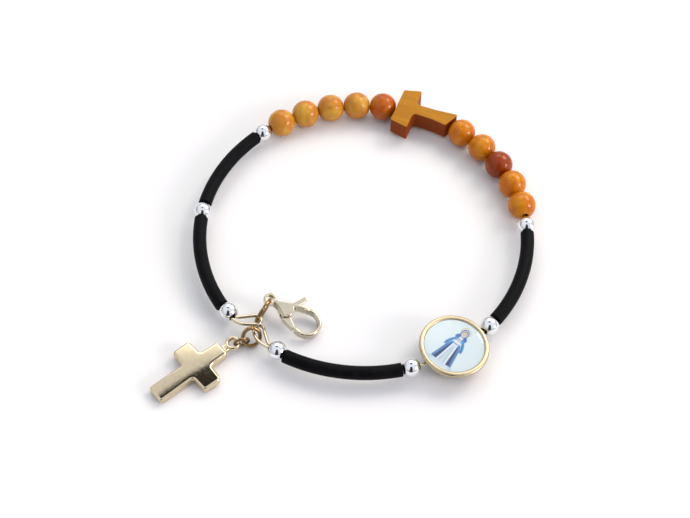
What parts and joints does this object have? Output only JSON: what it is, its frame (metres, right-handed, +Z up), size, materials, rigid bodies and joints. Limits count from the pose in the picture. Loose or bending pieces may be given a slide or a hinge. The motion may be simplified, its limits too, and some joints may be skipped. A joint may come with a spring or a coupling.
{
  "type": "rosary bracelet",
  "caption": "Open bracelet of round wooden and metal beads and black tubes on stiff wire, with a wooden cross, a round picture medal, a lobster clasp and a hanging cross.",
  "frame": {"origin": "centre of the wrist opening, at the height of the surface the bracelet lies on", "axes": "+Z up, square to the bracelet's ring; +X towards the side with the wooden beads next to the medal, +Y towards the wooden cross"},
  "size_m": [0.0806, 0.0792, 0.0062],
  "materials": {
    "wire": "polished, pale gold tint",
    "wood": "varnished",
    "wood_dark": "varnished, darker",
    "wood_cross": "satin",
    "pale_gold": "polished pale gold plating",
    "clasp_metal": "polished pale gold plating",
    "ring_metal": "polished pale gold plating",
    "silver": "mirror polish",
    "rubber": "matt",
    "print": "printed",
    "resin": "clear, domed"
  },
  "bodies": {
    "bracelet": {"core_wire": "wire", "tau_cross": "wood_cross", "medal_case": "pale_gold", "medal_print": "print", "medal_resin": "resin", "clasp_body": "clasp_metal", "clasp_ring": "ring_metal", "pendant_ring": "ring_metal", "pendant_link": "ring_metal", "cross_pendant": "pale_gold", "wood_bead_01": "wood", "wood_bead_02": "wood", "wood_bead_03": "wood", "wood_bead_04": "wood", "wood_bead_05": "wood_dark", "wood_bead_06": "wood", "wood_bead_07": "wood", "wood_bead_08": "wood_dark", "wood_bead_09": "wood", "wood_bead_10": "wood", "metal_bead_1": "silver", "metal_bead_2": "silver", "metal_bead_3": "silver", "metal_bead_4": "silver", "metal_bead_5": "silver", "metal_bead_6": "silver", "metal_bead_7": "silver", "rubber_tube_1": "rubber", "rubber_tube_2": "rubber", "rubber_tube_3": "rubber", "rubber_tube_4": "rubber"},
    "gate": {"clasp_lever": "clasp_metal"}
  },
  "joints": [
    {"name": "gate_hinge", "type": "hinge", "parent": "bracelet", "child": "gate", "pos_m": [-0.01636, -0.02038, 0.00294], "axis": [0.2145, -0.1289, 0.9682], "range_deg": [0, 25], "stiffness_Nm_per_rad": 0.0002, "springref_deg": -20.05}
  ]
}
